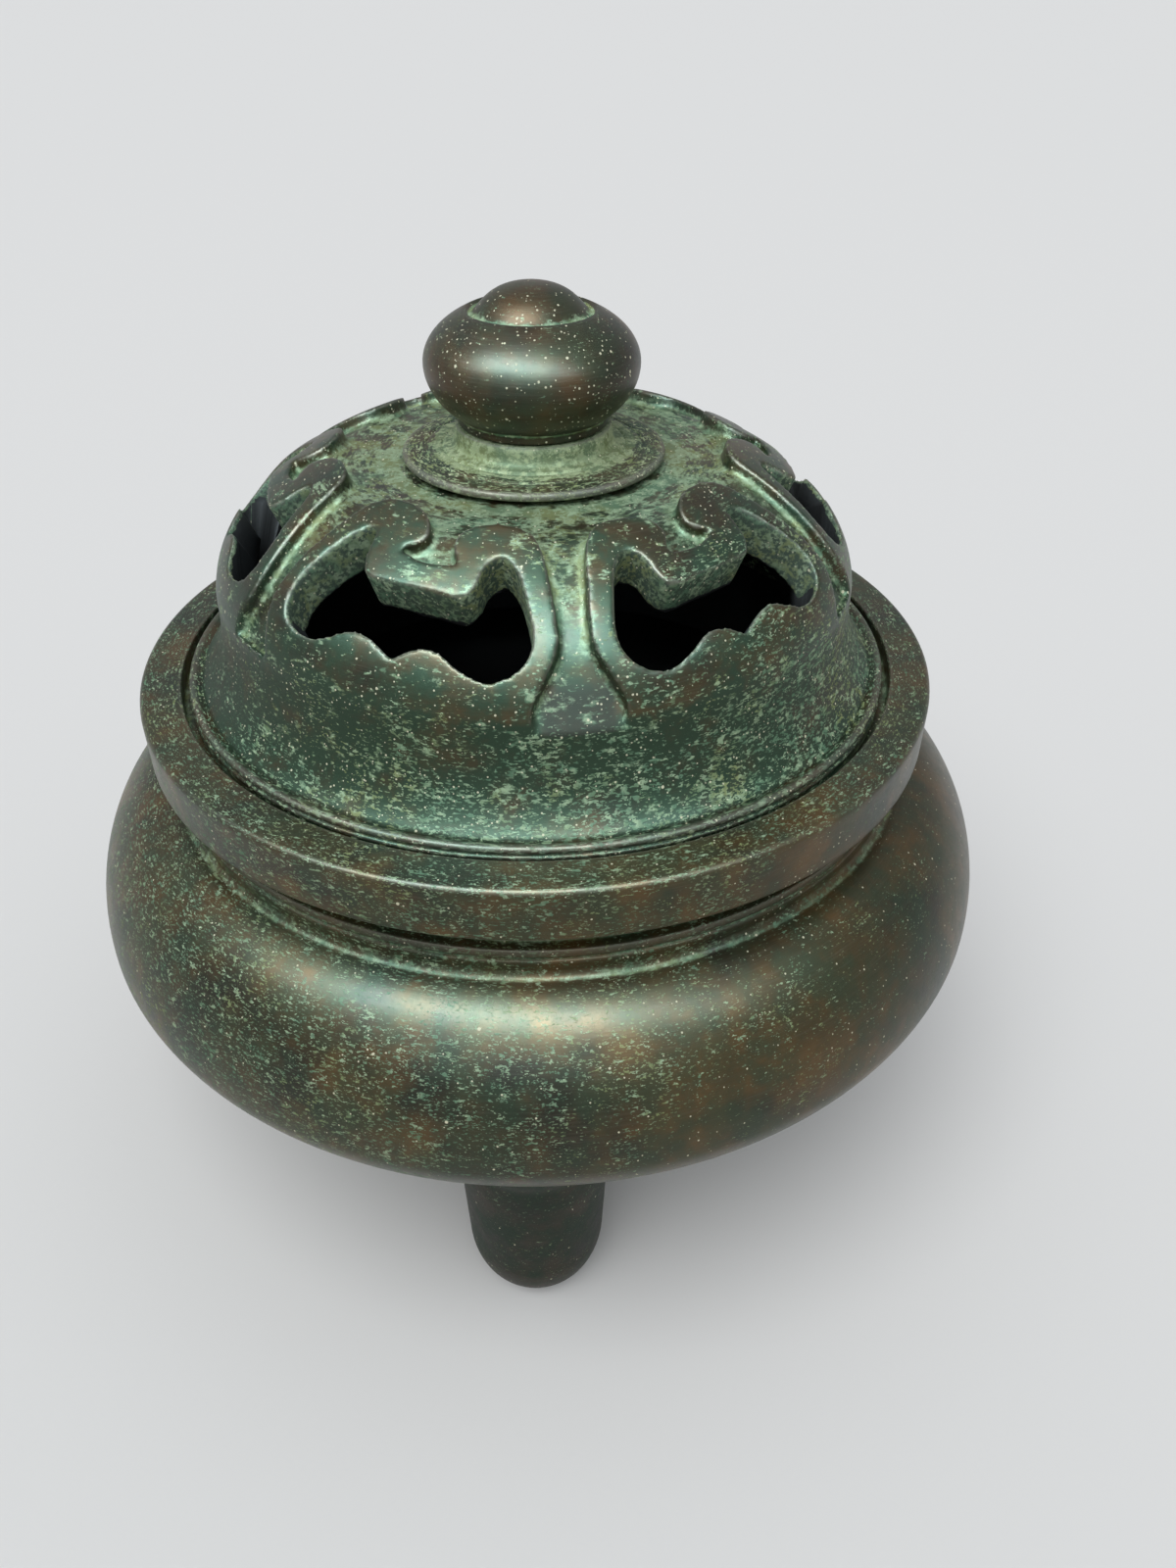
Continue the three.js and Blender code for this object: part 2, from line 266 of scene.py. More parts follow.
class Finish:
    def __init__(self, name):
        self.material = bpy.data.materials.new(name)
        self.material.use_nodes = True
        self.tree = self.material.node_tree
        self.surface = self.tree.nodes["Principled BSDF"]
        place = self.node("TexCoord", {}, {}, "Object")
        self.place = self.node("VectorMath", {"operation": "SCALE"}, {0: place, "Scale": 1 / mm})

    def node(self, kind, settings, values, output=0):
        made = self.tree.nodes.new("ShaderNode" + kind)
        for name, value in settings.items():
            setattr(made, name, value)
        for key, value in values.items():
            if isinstance(value, Wire):
                self.tree.links.new(value.socket, made.inputs[key])
            else:
                made.inputs[key].default_value = value
        return Wire(self, made.outputs[output])

    def set(self, **values):
        for key, value in values.items():
            socket = self.surface.inputs[key.replace("_", " ")]
            if isinstance(value, Wire):
                self.tree.links.new(value.socket, socket)
            else:
                socket.default_value = value

    def mix(self, amount, low, high):
        # colours, mixed by an amount
        values = {0: amount}
        for index, colour in ((6, low), (7, high)):
            values[index] = colour if isinstance(colour, Wire) else (*colour, 1)
        return self.node("Mix", {"data_type": "RGBA"}, values, 2)

    def rise(self, value, low, high):
        # 0 under low, 1 over high, smooth between
        values = {"Value": value, "From Min": low, "From Max": high}
        return self.node("MapRange", {"interpolation_type": "SMOOTHSTEP"}, values)

    def cloud(self, size, detail=3, seed=0.0):
        values = {"Vector": self.place, "W": seed, "Scale": 1 / size, "Detail": detail, "Roughness": 0.6}
        return self.node("TexNoise", {"noise_dimensions": "4D"}, values)

    def rings(self, along, across, seed=0.0, detail=3):
        # marks that run round the axis: long in the turn, short up the wall
        way = (1 / along, 1 / along, 1 / across)
        stretched = self.node("VectorMath", {"operation": "MULTIPLY"}, {0: self.place, 1: way})
        turnless = self.radius() * (1 / across) + seed
        values = {"Vector": stretched, "W": turnless, "Scale": 1.0, "Detail": detail, "Roughness": 0.6}
        return self.node("TexNoise", {"noise_dimensions": "4D"}, values)

    def radius(self):
        # the distance from the axis
        flat = self.node("VectorMath", {"operation": "MULTIPLY"}, {0: self.place, 1: (1, 1, 0)})
        return self.node("VectorMath", {"operation": "LENGTH"}, {0: flat}, "Value")

    def lean(self, way):
        # grows along a way, by 1 per millimetre for a way of length 1
        return self.node("VectorMath", {"operation": "DOT_PRODUCT"}, {0: self.place, 1: way}, "Value")

    def attribute(self, name):
        return self.node("Attribute", {"attribute_name": name}, {}, "Fac")

    def dots(self, spacing, size, share, clumps, uneven):
        # specks, each its own size and a little ragged, in a share of the cells that grows in clumps
        cells = self.node("TexVoronoi", {}, {"Vector": self.place, "Scale": 1 / spacing})
        chance = self.node("SeparateColor", {}, {0: Wire(self, cells.socket.node.outputs["Color"])})
        picked = self.rise(chance + clumps, 1 - share, 1 - share + 0.02)
        other = Wire(self, chance.socket.node.outputs[1])
        reach = (other * 0.7 + 0.3) * (size / spacing)
        return (1 - self.rise(cells.maths("DIVIDE", reach) + uneven, 0.7, 1.1)) * picked


bronzeColours = {
    "dark": (0.018, 0.018, 0.009),
    "brown": (0.056, 0.040, 0.013),
    "red": (0.104, 0.056, 0.014),
    "filmAndReflection": (0.018, 0.042, 0.020),
    "verdigris": (0.095, 0.185, 0.105),
    "moss": (0.190, 0.225, 0.085),
    "pale": (0.300, 0.400, 0.245),
    "cream": (0.640, 0.610, 0.430),
    "worn": (0.170, 0.155, 0.125),
    "cut": (0.042, 0.068, 0.042),
    "soot": (0.010, 0.0095, 0.009),
}


# how wide the bronze's patterns are: marks have a length and a width, dots a spacing and a size
patternSizes = {
    "grain": 0.45,
    "breakup": 1.6,
    "brownPatch": 14,
    "redPatch": 9,
    "filmPatch": 5,
    "crowdPatch": 8,
    "mossPatch": 9,
    "tintPatch": 1.2,
    "mottlePatch": 2.4,
    "wallGrain": 0.45,
    "dotClump": 5,
    "streak": (5, 0.16),
    "dash": (1.1, 0.42),
    "tick": (0.55, 0.24),
    "largeDot": (1.1, 0.2),
    "smallDot": (0.5, 0.13),
}


class Bronze(Finish):
    # patinated bronze, laid on in stages
    def __init__(self, name, look):
        super().__init__(name)
        self.look = look
        self.colours = {**bronzeColours, **look.get("colours", {})}
        self.hollow = self.attribute("hollow")
        self.ground = self.attribute("ground")
        self.skirt = self.attribute("skirt")
        self.grain = self.cloud(patternSizes["grain"], 2, 11.0)
        self.breakup = self.cloud(patternSizes["breakup"], 4, 7.0)
        self.streaks = self.rings(*patternSizes["streak"])
        self.dashes = self.flakes("dash", 4.0, 3)
        self.ticks = self.flakes("tick", 9.0, 1)
        self.layMetal()
        self.layFilmAndSkirtReflection()
        self.shadeValleyFeet()
        self.layFlecks()
        self.layMottle()
        self.fillHollows()
        self.roughenWalls()
        self.wearEdges()
        self.layDots()
        self.laySoot()
        self.shine()

    def flakes(self, kind, seed, detail):
        along, across = (size * self.look["flake"] for size in patternSizes[kind])
        return self.rings(along, across, seed, detail)

    def lay(self, amount, colour):
        # a colour over the ones so far
        self.colour = self.mix(amount, self.colour, colour)

    def layMetal(self):
        # dark and brown patches, redder ones, and faint turned streaks
        brown = self.rise(self.cloud(patternSizes["brownPatch"], 3, 3.0), 0.38, 0.6)
        self.colour = self.mix(brown, self.colours["dark"], self.colours["brown"])
        red = self.rise(self.cloud(patternSizes["redPatch"], 3, 5.0), 0.41, 0.66)
        self.lay(red * self.look["red"], self.colours["red"])
        self.lay(self.rise(self.streaks, 0.45, 0.75) * 0.14, self.colours["worn"])

    def layFilmAndSkirtReflection(self):
        # a thin green film; on the skirt more of it, which is a painted green reflection
        places = self.cloud(patternSizes["filmPatch"], 4, 13.0) + self.breakup * 0.4 + self.skirt * 0.12
        self.filmAndReflection = self.rise(places, 0.52, 0.86) * self.look["filmAndReflection"]
        self.lay(self.filmAndReflection, self.colours["filmAndReflection"])

    def shadeValleyFeet(self):
        # painted shade at the foot of each plain valley, where the ground runs under 0: a darker colour
        # and a matt surface
        self.footShade = self.rise(self.ground * -1, 0.1, 0.8)
        self.lay(self.footShade * 0.7, self.colours["dark"])

    def layFlecks(self):
        # short dashes of verdigris that crowd together in places
        look = self.look
        places = self.cloud(patternSizes["crowdPatch"], 3, 17.0) + self.lean(look["lean"]) + look["spread"]
        if "upper" in look:
            low, high = look["upper"]
            places = places + self.rise(self.lean((0, 0, 1)), low, high) * 0.25
        limit = 0.645 - self.rise(places, 0.36, 0.72) * look["crowd"] - self.skirt * 0.02
        dashes = self.rise(self.dashes * 0.65 + self.grain * 0.35 - limit, 0.0, 0.03)
        ticks = self.rise(self.ticks - limit - look["sparse"], 0.0, 0.05)
        self.flecks = dashes.maths("MAXIMUM", ticks * 0.7) * look["flecks"]
        mossy = self.rise(self.cloud(patternSizes["mossPatch"], 3, 31.0), 0.44, 0.62)
        self.greens = self.mix(mossy, self.colours["verdigris"], self.colours["moss"])
        paler = self.rise(self.cloud(patternSizes["tintPatch"], 2, 19.0), 0.42, 0.66)
        self.tint = self.mix(paler, self.greens, self.colours["pale"])
        self.lay(self.flecks, self.tint)

    def layMottle(self):
        # mottled patina on the sunk ground, and in a ring round the knob where the look has a halo
        spread = self.cloud(patternSizes["mottlePatch"], 5, 29.0) + (self.dashes - 0.5) * 0.8
        mottle = self.rise(spread, 0.42, 0.56) * self.ground
        if "halo" in self.look:
            low, high = self.look["halo"]
            radius = self.radius()
            ring = self.rise(radius, low, low + 0.5) - self.rise(radius, high, high + 1.6)
            mottle = mottle.maths("MAXIMUM", self.rise(spread + ring * 0.5, 0.58, 0.74))
        self.mottle = mottle
        paler = self.rise(self.breakup + (self.grain - 0.5) * 0.8, 0.4, 0.6)
        self.lay(mottle * 0.75, self.mix(paler, self.greens, self.colours["pale"]))

    def fillHollows(self):
        look = self.look
        broad = self.attribute("broadHollow") * look["broadGain"]
        depth = self.hollow * look["hollowGain"] + broad + (self.breakup - 0.5) * 0.7
        uneven = (self.grain - 0.5) * 0.5
        self.sunk = self.rise(depth + uneven + self.ground * 0.12, 0.1, 0.42) * look["hollows"]
        self.lay(self.sunk, self.tint)

    def roughenWalls(self):
        # sawn walls of the windows: dark, with pale grains
        self.wall = self.attribute("cutWall")
        places = self.cloud(patternSizes["wallGrain"], 3, 23.0) + (self.breakup - 0.5) * 0.5
        grains = self.rise(places, 0.42, 0.58)
        self.lay(self.wall, self.mix(grains * 0.8, self.colours["cut"], self.tint))

    def wearEdges(self):
        edge = self.look["edge"]
        sharp = (self.hollow + (self.grain - 0.5) * 0.12) * -1
        self.worn = self.rise(sharp, edge, edge * 2.5) * self.look["wear"]
        self.lay(self.worn, self.colours["worn"])

    def layDots(self):
        # cream dots
        clumps = (self.cloud(patternSizes["dotClump"], 3, 37.0) - 0.5) * 0.9
        uneven = (self.grain - 0.5) * 1.2
        share = self.look["dots"]
        large = self.dots(*patternSizes["largeDot"], share * 0.3, clumps, uneven)
        small = self.dots(*patternSizes["smallDot"], share * 0.6, clumps, uneven)
        self.specks = small.maths("MAXIMUM", large)
        self.lay(self.specks * 0.85, self.colours["cream"])

    def laySoot(self):
        inside = self.attribute("inside")
        self.soot = self.rise(inside + (self.breakup - 0.5) * 0.5, 0.4, 0.6)
        self.lay(self.soot, self.colours["soot"])

    def shine(self):
        # crusts are matt and stand proud; the metal between them keeps its wax
        look = self.look
        crust = self.flecks.maths("MAXIMUM", self.sunk).maths("MAXIMUM", self.specks)
        crust = crust.maths("MAXIMUM", self.wall)
        matt = crust.maths("MAXIMUM", self.soot).maths("MAXIMUM", self.mottle * 0.7)
        # the painted shade at the plain valleys' feet is made matt too
        matt = matt.maths("MAXIMUM", self.footShade * 0.8)
        rough = (self.streaks - 0.5) * 0.1 + (self.grain - 0.5) * 0.15 + look["rough"]
        rough = rough + self.filmAndReflection * 0.08 + matt * 0.3 + self.worn * 0.2
        height = self.grain * 0.5 + self.streaks * look["brush"] + crust * 0.6 + self.breakup * 0.6
        bump = self.node("Bump", {}, {"Strength": 0.4, "Distance": 0.05 * mm, "Height": height})
        wax = look["wax"] - matt.maths("MAXIMUM", self.worn) * look["wax"]
        self.set(Base_Color=self.colour, Roughness=rough, Metallic=0.45 - matt * 0.4, Normal=bump,
                 Specular_IOR_Level=0.28, Coat_Roughness=0.33, Coat_Weight=wax)


def bronze(name, look):
    return Bronze(name, look).material


# Camera: the photograph's viewing angle
cameraSizes = {
    "place": Vector((6.57, -134.40, 146.86)),
    "pitch": 36.20,
    "roll": 0.325,
    "lens": 26.76,
}


def makeCamera(sizes):
    data = bpy.data.cameras.new("camera")
    data.sensor_fit = "VERTICAL"
    data.sensor_height = 36
    data.lens = sizes["lens"]
    data.clip_start = 0.005
    camera = bpy.data.objects.new("camera", data)
    scene.collection.objects.link(camera)
    tilt = Matrix.Rotation(math.radians(90 - sizes["pitch"]), 4, "X")
    roll = Matrix.Rotation(math.radians(sizes["roll"]), 4, "Z")
    camera.matrix_world = Matrix.Translation(sizes["place"] * mm) @ tilt @ roll
    scene.camera = camera
    print("camera placed")


makeCamera(cameraSizes)


# Bowl
bowlSizes = {
    "rimRadius": 50,
    "rimWidth": 4.95,
    "bandHeight": 6.6,
    "rimEdge": 0.7,
    "mouthEdge": 0.25,
    "bandEdge": 0.5,
    "softEdge": 0.2,
    "lipWidth": 1.2,
    "lipHeight": 0.5,
    "rebateDepth": 2.5,
    "ledgeWidth": 3.3,
    "neckDepth": 4.1,
    "neckGroove": 0.35,
    "collarRadius": 47.3,
    "collarDrop": 10.8,
    "collarHeight": 3.3,
    "collarEdge": 0.15,
    "collarGroove": 0.6,
    "widestHeight": 41.6,
    "shoulderPull": 6.6,
    "shoulderFall": 0.2,
    "upperPull": 8.5,
    "lowerPull": 4.6,
    "flatHeight": 25.5,
    "flatRadius": 22,
    "flatPull": 30,
    "wall": 3.2,
    "middle": 48,
    "steps": 192,
}


def bellyLine(sizes, inset, steps=40):
    # from the shoulder under the collar to the flat of the bottom, moved inwards by an inset
    foot = nodeBox("bowl")[1].z - sizes["collarDrop"] - sizes["collarHeight"]
    radius = nodeBox("bowl")[1].x
    shoulder = Vector((sizes["collarRadius"] + sizes["collarGroove"], foot))
    widest = Vector((radius, sizes["widestHeight"]))
    flat = Vector((sizes["flatRadius"], sizes["flatHeight"]))
    upper = sweep(shoulder, shoulder + Vector((sizes["shoulderPull"], -sizes["shoulderFall"])),
                  widest + Vector((0, sizes["upperPull"])), widest, steps)
    lower = sweep(widest, widest - Vector((0, sizes["lowerPull"])),
                  flat + Vector((sizes["flatPull"], 0)), flat, steps)
    line = [Vector(point) for point in upper + lower[1:]]
    moved = []
    for i, point in enumerate(line):
        along = (line[min(i + 1, len(line) - 1)] - line[max(i - 1, 0)]).normalized()
        moved.append((point.x + inset * along.y, point.y - inset * along.x))
    return moved


def makeBowl(sizes, finish):
    top = nodeBox("bowl")[1].z
    rim = sizes["rimRadius"]
    mouth = rim - sizes["rimWidth"]
    ledge = mouth - sizes["ledgeWidth"]
    bandFoot = top - sizes["bandHeight"]
    neck = rim - sizes["neckDepth"]
    collar = sizes["collarRadius"]
    collarTop = top - sizes["collarDrop"]
    collarFoot = collarTop - sizes["collarHeight"]
    groove = sizes["collarGroove"]
    hair = sizes["neckGroove"]
    ledgeHeight = top - sizes["rebateDepth"]
    lip, lipFoot = rim - sizes["lipWidth"], bandFoot - sizes["lipHeight"]
    soft, fine = sizes["softEdge"], sizes["collarEdge"]
    outside = [
        (mouth, ledgeHeight, 0.3), (mouth, top, sizes["mouthEdge"]), (rim, top, sizes["rimEdge"]),
        (rim, bandFoot, sizes["bandEdge"]), (lip, bandFoot, soft), (lip, lipFoot, soft),
        (neck, lipFoot, soft), (neck, collarTop + groove, soft),
        (collar, collarTop + hair, sizes["mouthEdge"]), (collar, collarTop - groove, fine),
        (collar - groove, collarTop - 1.5 * groove, 0.1), (collar, collarTop - 2 * groove, fine),
        (collar, collarFoot + groove, 2 * soft),
    ]
    inner = bellyLine(sizes, sizes["wall"])
    inside = [(0, sizes["flatHeight"] + sizes["wall"])] + inner[::-1]
    inside += [(ledge, collarFoot - sizes["wall"], 3 * soft), (ledge, ledgeHeight, 2 * soft)]
    outer = bellyLine(sizes, 0)
    profile = inside + outside + outer + [(0, sizes["flatHeight"])]
    bm = turned(profile, sizes["steps"], longest=0.9)
    markInside(bm, Vector((0, 0, sizes["middle"])), ledgeHeight - soft)
    print("bowl:", triangles(bm), "triangles")
    return makePiece("bowl_casting", bm, finish, "bowl", ["bowl"])


bowlLook = {
    "flake": 0.8, "flecks": 0.75, "crowd": 0.09, "lean": (-0.0055, 0, 0.003), "spread": 0.01,
    "upper": (71.2, 71.9), "sparse": 0.04, "red": 0.9, "filmAndReflection": 0.6, "hollows": 0.7, "hollowGain": 1.1,
    "broadGain": 0, "edge": 0.16, "wear": 0.5, "dots": 0.2, "rough": 0.36, "brush": 0.35, "wax": 0.2,
}
bowlBronze = bronze("bowl bronze", bowlLook)
makeBowl(bowlSizes, bowlBronze)


# Feet
footSizes = {
    "rootRadius": 9.5,
    "toeRadius": 8.8,
    "toeHeight": 8.5,
    "soleRadius": 3.6,
    "taper": 0.1,
    "taperTop": -3,
    "flareFoot": 1,
    "flareTop": 4,
    "flare": 0.8,
    "flareEdge": 1.0,
    "seam": 0.12,
    "steps": 72,
}


def makeFoot(node, sizes, finish):
    low, high = nodeBox(node)
    centre = (low + high) / 2
    spread = Vector((centre.x, centre.y, 0))
    toe = sizes["toeRadius"] - sizes["soleRadius"]
    profile = [(0, 0)]
    profile += arc((sizes["soleRadius"], sizes["toeHeight"]), toe, sizes["toeHeight"], -90, 0, 20)
    root = sizes["rootRadius"]
    flat, top = bowlSizes["flatHeight"], bowlSizes["widestHeight"]
    profile += [(root - sizes["taper"], flat + sizes["taperTop"]), (root, flat + sizes["flareFoot"])]
    profile += [(root + sizes["flare"], flat + sizes["flareTop"], sizes["flareEdge"])]
    profile += [(root, top), (0, top)]
    leg = turned(profile, sizes["steps"])
    bmesh.ops.translate(leg, vec=spread, verts=leg.verts)
    collarFoot = nodeBox("bowl")[1].z - bowlSizes["collarDrop"] - bowlSizes["collarHeight"]
    outer = bellyLine(bowlSizes, -sizes["seam"])
    belly = turned([(0, collarFoot)] + outer + [(0, bowlSizes["flatHeight"] - sizes["seam"])], 160)
    foot = combined(leg, belly, "DIFFERENCE")
    print(node + ":", triangles(foot), "triangles")
    return makePiece(node + "_casting", foot, finish, "bowl", [node])


# the feet's darker colours are painted shade, for the shadow that the belly casts on them
shadedFootLook = {
    "flake": 0.8, "flecks": 0.6, "crowd": 0.05, "lean": (0, 0, 0), "spread": 0.1, "sparse": 0.06,
    "red": 0.1, "filmAndReflection": 1.0, "hollows": 0.6, "hollowGain": 1.0, "broadGain": 0.2, "edge": 0.2,
    "wear": 0.2, "dots": 0.1, "rough": 0.5, "brush": 0.3, "wax": 0.1,
    "colours": {"dark": (0.008, 0.009, 0.005), "brown": (0.018, 0.014, 0.006),
                "filmAndReflection": (0.008, 0.022, 0.010)},
}
shadedFootBronze = bronze("foot bronze", shadedFootLook)
for footName in ("foot_front", "foot_rear_right", "foot_rear_left"):
    makeFoot(footName, footSizes, shadedFootBronze)


# Lid: a dome with raised cloud panels and pierced windows, drawn towards one point on the axis
lidSizes = {
    "turn": 8.7,
    "footRadius": 44.15,
    "footWidth": 3.9,
    "footHeight": 1.3,
    "beadHeight": 1.5,
    "lowerBead": 0.26,
    "lapDepth": 0.15,
    "seatPlay": 0.1,
    "softEdge": 0.2,
    "beadGroove": 0.35,
    "springHeight": 10.9,
    "radius": 38.8,
    "curveWidth": 46.8,
    "rise": 21,
    "relief": 1.65,
    "wall": 3.9,
    "crownWall": 6.5,
    "hubHeight": 24.6,
    "hubWall": 2.4,
    "skirtPull": 2.8,
    "skirtEdge": 1.3,
    "innerFlare": 0.2,
    "innerDrop": 3.4,
    "seatInset": 0.4,
    "seatDrop": 0.9,
    "panelFoot": 6,
    "valleyFoot": -0.4,
    "valleySunk": 16,
    "footTurn": 6.9,
    "footStart": -0.3,
    "footEnd": 6,
    "crown": 54,
    "drawDepth": 55,
    "drawHeight": 45,
    "boreRadius": 2.8,
    "boreDepth": 8,
    "voxel": 0.3,
    "softening": 4,
    "insideShare": 0.04,
    "mostTriangles": 190000,
    "steps": 160,
}
# One motif, from the middle of a plain valley (turn 0) to the middle of a hooked one (turn 60), in degrees
panelStretches = [
    [(7.1, -0.4), (7, 7.5), (6, 12), (4.7, 16), (2.9, 21.8), (2.7, 27), (3.4, 35), (4.7, 42), (7.2, 45.8),
     (12.5, 47.5), (18.6, 47.3), (23.2, 45.6), (24.4, 43), (23.3, 40.6), (22, 38.5)],
    [(22, 38.5), (29, 38.2), (36.8, 40.1)],
    [(36.8, 40.1), (32.8, 41.3), (31, 43.6), (32.6, 46.5), (36.7, 48.7), (43, 49.3), (49.2, 48.5),
     (52.6, 45.5), (54.2, 41), (56, 34), (57.1, 26), (57, 18.5), (55.6, 11), (55.1, 4.8)],
    [(55.1, 4.8), (61, 4.8)],
    [(61, 4.8), (61, -5)],
    [(61, -5), (7.1, -5)],
    [(7.1, -5), (7.1, -0.4)],
]
# the line under which a panel's brown face gives way to the skirt
panelEdge = [(0, -0.4), (7, 2.6), (14, 3.4), (25, 5), (35, 6), (46, 8), (55, 9), (60, 9)]
windowStretches = [
    [(29.5, 16.9), (26.3, 19.8), (22.3, 20.2), (18.3, 16.6), (13.8, 14), (9.2, 17), (7, 23), (7.8, 31),
     (9.8, 37.5), (13, 40.5), (16.2, 38.6), (17.4, 34.5), (20, 31.8), (26.6, 32.5), (34, 32.7), (39.4, 33),
     (42, 36.2), (43.2, 40.4), (45, 42.3), (48.6, 39.6), (51.6, 33), (53.2, 26), (52.4, 20), (49.4, 16.8),
     (45, 16), (41.2, 18.4), (37.2, 21), (33.2, 20), (29.5, 16.9)],
]
rimTop = nodeBox("bowl")[1].z
domeSpring = rimTop + lidSizes["springHeight"]
domeCentre = (lidSizes["radius"] - lidSizes["curveWidth"], domeSpring)
drawPoint = Vector((0, 0, rimTop - lidSizes["drawDepth"]))


def domeLine(sizes, start, end, sink, steps, crownSink=None):
    height = sizes["rise"] - (sink if crownSink is None else crownSink)
    return arc(domeCentre, sizes["curveWidth"] - sink, height, start, end, steps)


def riseAt(sizes, height, sink):
    return math.degrees(math.asin((height - domeSpring) / (sizes["rise"] - sink)))


def onDome(sizes, turn, rise):
    angle = math.radians(turn)
    radius, height = domeLine(sizes, rise, rise, 0, 1)[0]
    return Vector((radius * math.sin(angle), -radius * math.cos(angle), height))


def drawnSolid(sizes, stretches, valley, side):
    # an outline on the dome, carried along its lines from the draw point between two level planes
    low, high = rimTop, rimTop + sizes["drawHeight"]
    bm = bmesh.new()
    corners = []
    for turn, rise in [point for stretch in stretches for point in throughPoints(stretch, 6)]:
        along = onDome(sizes, valley + side * turn, rise) - drawPoint
        corners.append(bm.verts.new(drawPoint + along * ((low - drawPoint.z) / along.z)))
    floor = bm.faces.new(corners)
    made = bmesh.ops.extrude_face_region(bm, geom=[floor])
    raised = [item for item in made["geom"] if isinstance(item, bmesh.types.BMVert)]
    grow = (high - drawPoint.z) / (low - drawPoint.z)
    bmesh.ops.scale(bm, vec=(grow, grow, grow), space=Matrix.Translation(-drawPoint), verts=raised)
    bmesh.ops.recalc_face_normals(bm, faces=bm.faces)
    bmesh.ops.triangulate(bm, faces=bm.faces)
    return bm


def withoutMotifs(base, sizes, stretches):
    # mirrored pairs are cut out, one on each side of every plain valley
    for side in (-1, 1):
        for valley in (0, 120, 240):
            solid = drawnSolid(sizes, stretches, sizes["turn"] + valley, side)
            base = combined(base, solid, "DIFFERENCE")
    return base


def between(start, end, share=2 / 3):
    return tuple(a + (b - a) * share for a, b in zip(start, end))


def lidProfile(sizes):
    beadTop = nodeBox("lid")[0].z + sizes["footHeight"] + sizes["beadHeight"]
    radius, foot = sizes["radius"], sizes["footRadius"]
    crease = (foot - sizes["beadHeight"], beadTop - sizes["beadGroove"])
    pull = (radius, beadTop + sizes["skirtPull"])
    spring = (radius, domeSpring)
    outside = sweep(crease, between(crease, pull), between(spring, pull), spring, 24)
    outside += [(radius, domeSpring + sizes["skirtEdge"], 0.5)]
    outside += domeLine(sizes, sizes["panelFoot"], sizes["crown"], 0, 40)
    outside += [(0, outside[-1][1])]
    inner = radius - sizes["wall"]
    hubCeiling = rimTop + sizes["hubHeight"] - sizes["hubWall"]
    inside = [(0, hubCeiling)]
    crown = sizes["crownWall"]
    inside += domeLine(sizes, riseAt(sizes, hubCeiling, crown), 0, sizes["wall"], 30, crown)
    seat = crease[1] - sizes["seatDrop"]
    inside += [(inner + sizes["innerFlare"], beadTop + sizes["innerDrop"])]
    inside += [(foot - sizes["footWidth"] - sizes["seatInset"], seat), (crease[0] - 0.5, seat)]
    return inside + outside


def valleyProfile(sizes):
    # what lies over the hub and the valleys' floors, which run out through the dome's face at their foot
    hubTop = rimTop + sizes["hubHeight"]
    start = riseAt(sizes, hubTop, sizes["relief"])
    floor = domeLine(sizes, start, sizes["valleySunk"], sizes["relief"], 40)
    foot = domeLine(sizes, sizes["valleyFoot"], sizes["valleyFoot"], 0, 1)[0]
    beyond = between(floor[-1], foot, 2)
    top = domeSpring + sizes["rise"] + 1
    return [(0, hubTop)] + floor + [beyond, (beyond[0], top), (0, top)]


def motifTurn(sizes, place):
    # the turn from a place to the middle of the nearest plain valley
    turn = math.degrees(math.atan2(place.x, -place.y)) - sizes["turn"]
    return abs((turn + 60) % 120 - 60)


def skirtStart(sizes, turn):
    # the height of the panels' lower edge at a turn from the plain valley
    for (start, low), (end, high) in zip(panelEdge, panelEdge[1:]):
        if turn <= end:
            break
    rise = low + (high - low) * (turn - start) / (end - start)
    return domeLine(sizes, rise, rise, 0, 1)[0][1]


def outlineWays(sizes, stretches):
    # the ways from the draw point to an outline's points, for every motif
    ways = []
    for valley in (0, 120, 240):
        for side in (-1, 1):
            for turn, rise in [point for stretch in stretches for point in throughPoints(stretch, 8)]:
                point = onDome(sizes, sizes["turn"] + valley + side * turn, rise)
                ways.append((point - drawPoint).normalized())
    tree = KDTree(len(ways))
    for i, way in enumerate(ways):
        tree.insert(way, i)
    tree.balance()
    return tree


def clamped(value):
    return min(max(value, 0.0), 1.0)


def groundShare(sizes, inset, over, turn):
    # 1 on a valley's sunk floor, less towards its foot, and under 0 on a plain valley's foot, where shade
    # is painted
    if over < sizes["footStart"]:
        return 0.0
    sunk = clamped(inset / sizes["relief"] * 1.5 - 0.4) * clamped(over / 8 - 0.25)
    # a plain valley's foot runs under 0 here: painted shade
    if turn < sizes["footTurn"] and over < sizes["footEnd"]:
        sunk -= min((sizes["footTurn"] - turn) * 1.5, sizes["footEnd"] - over, 4) / 4
    return sunk


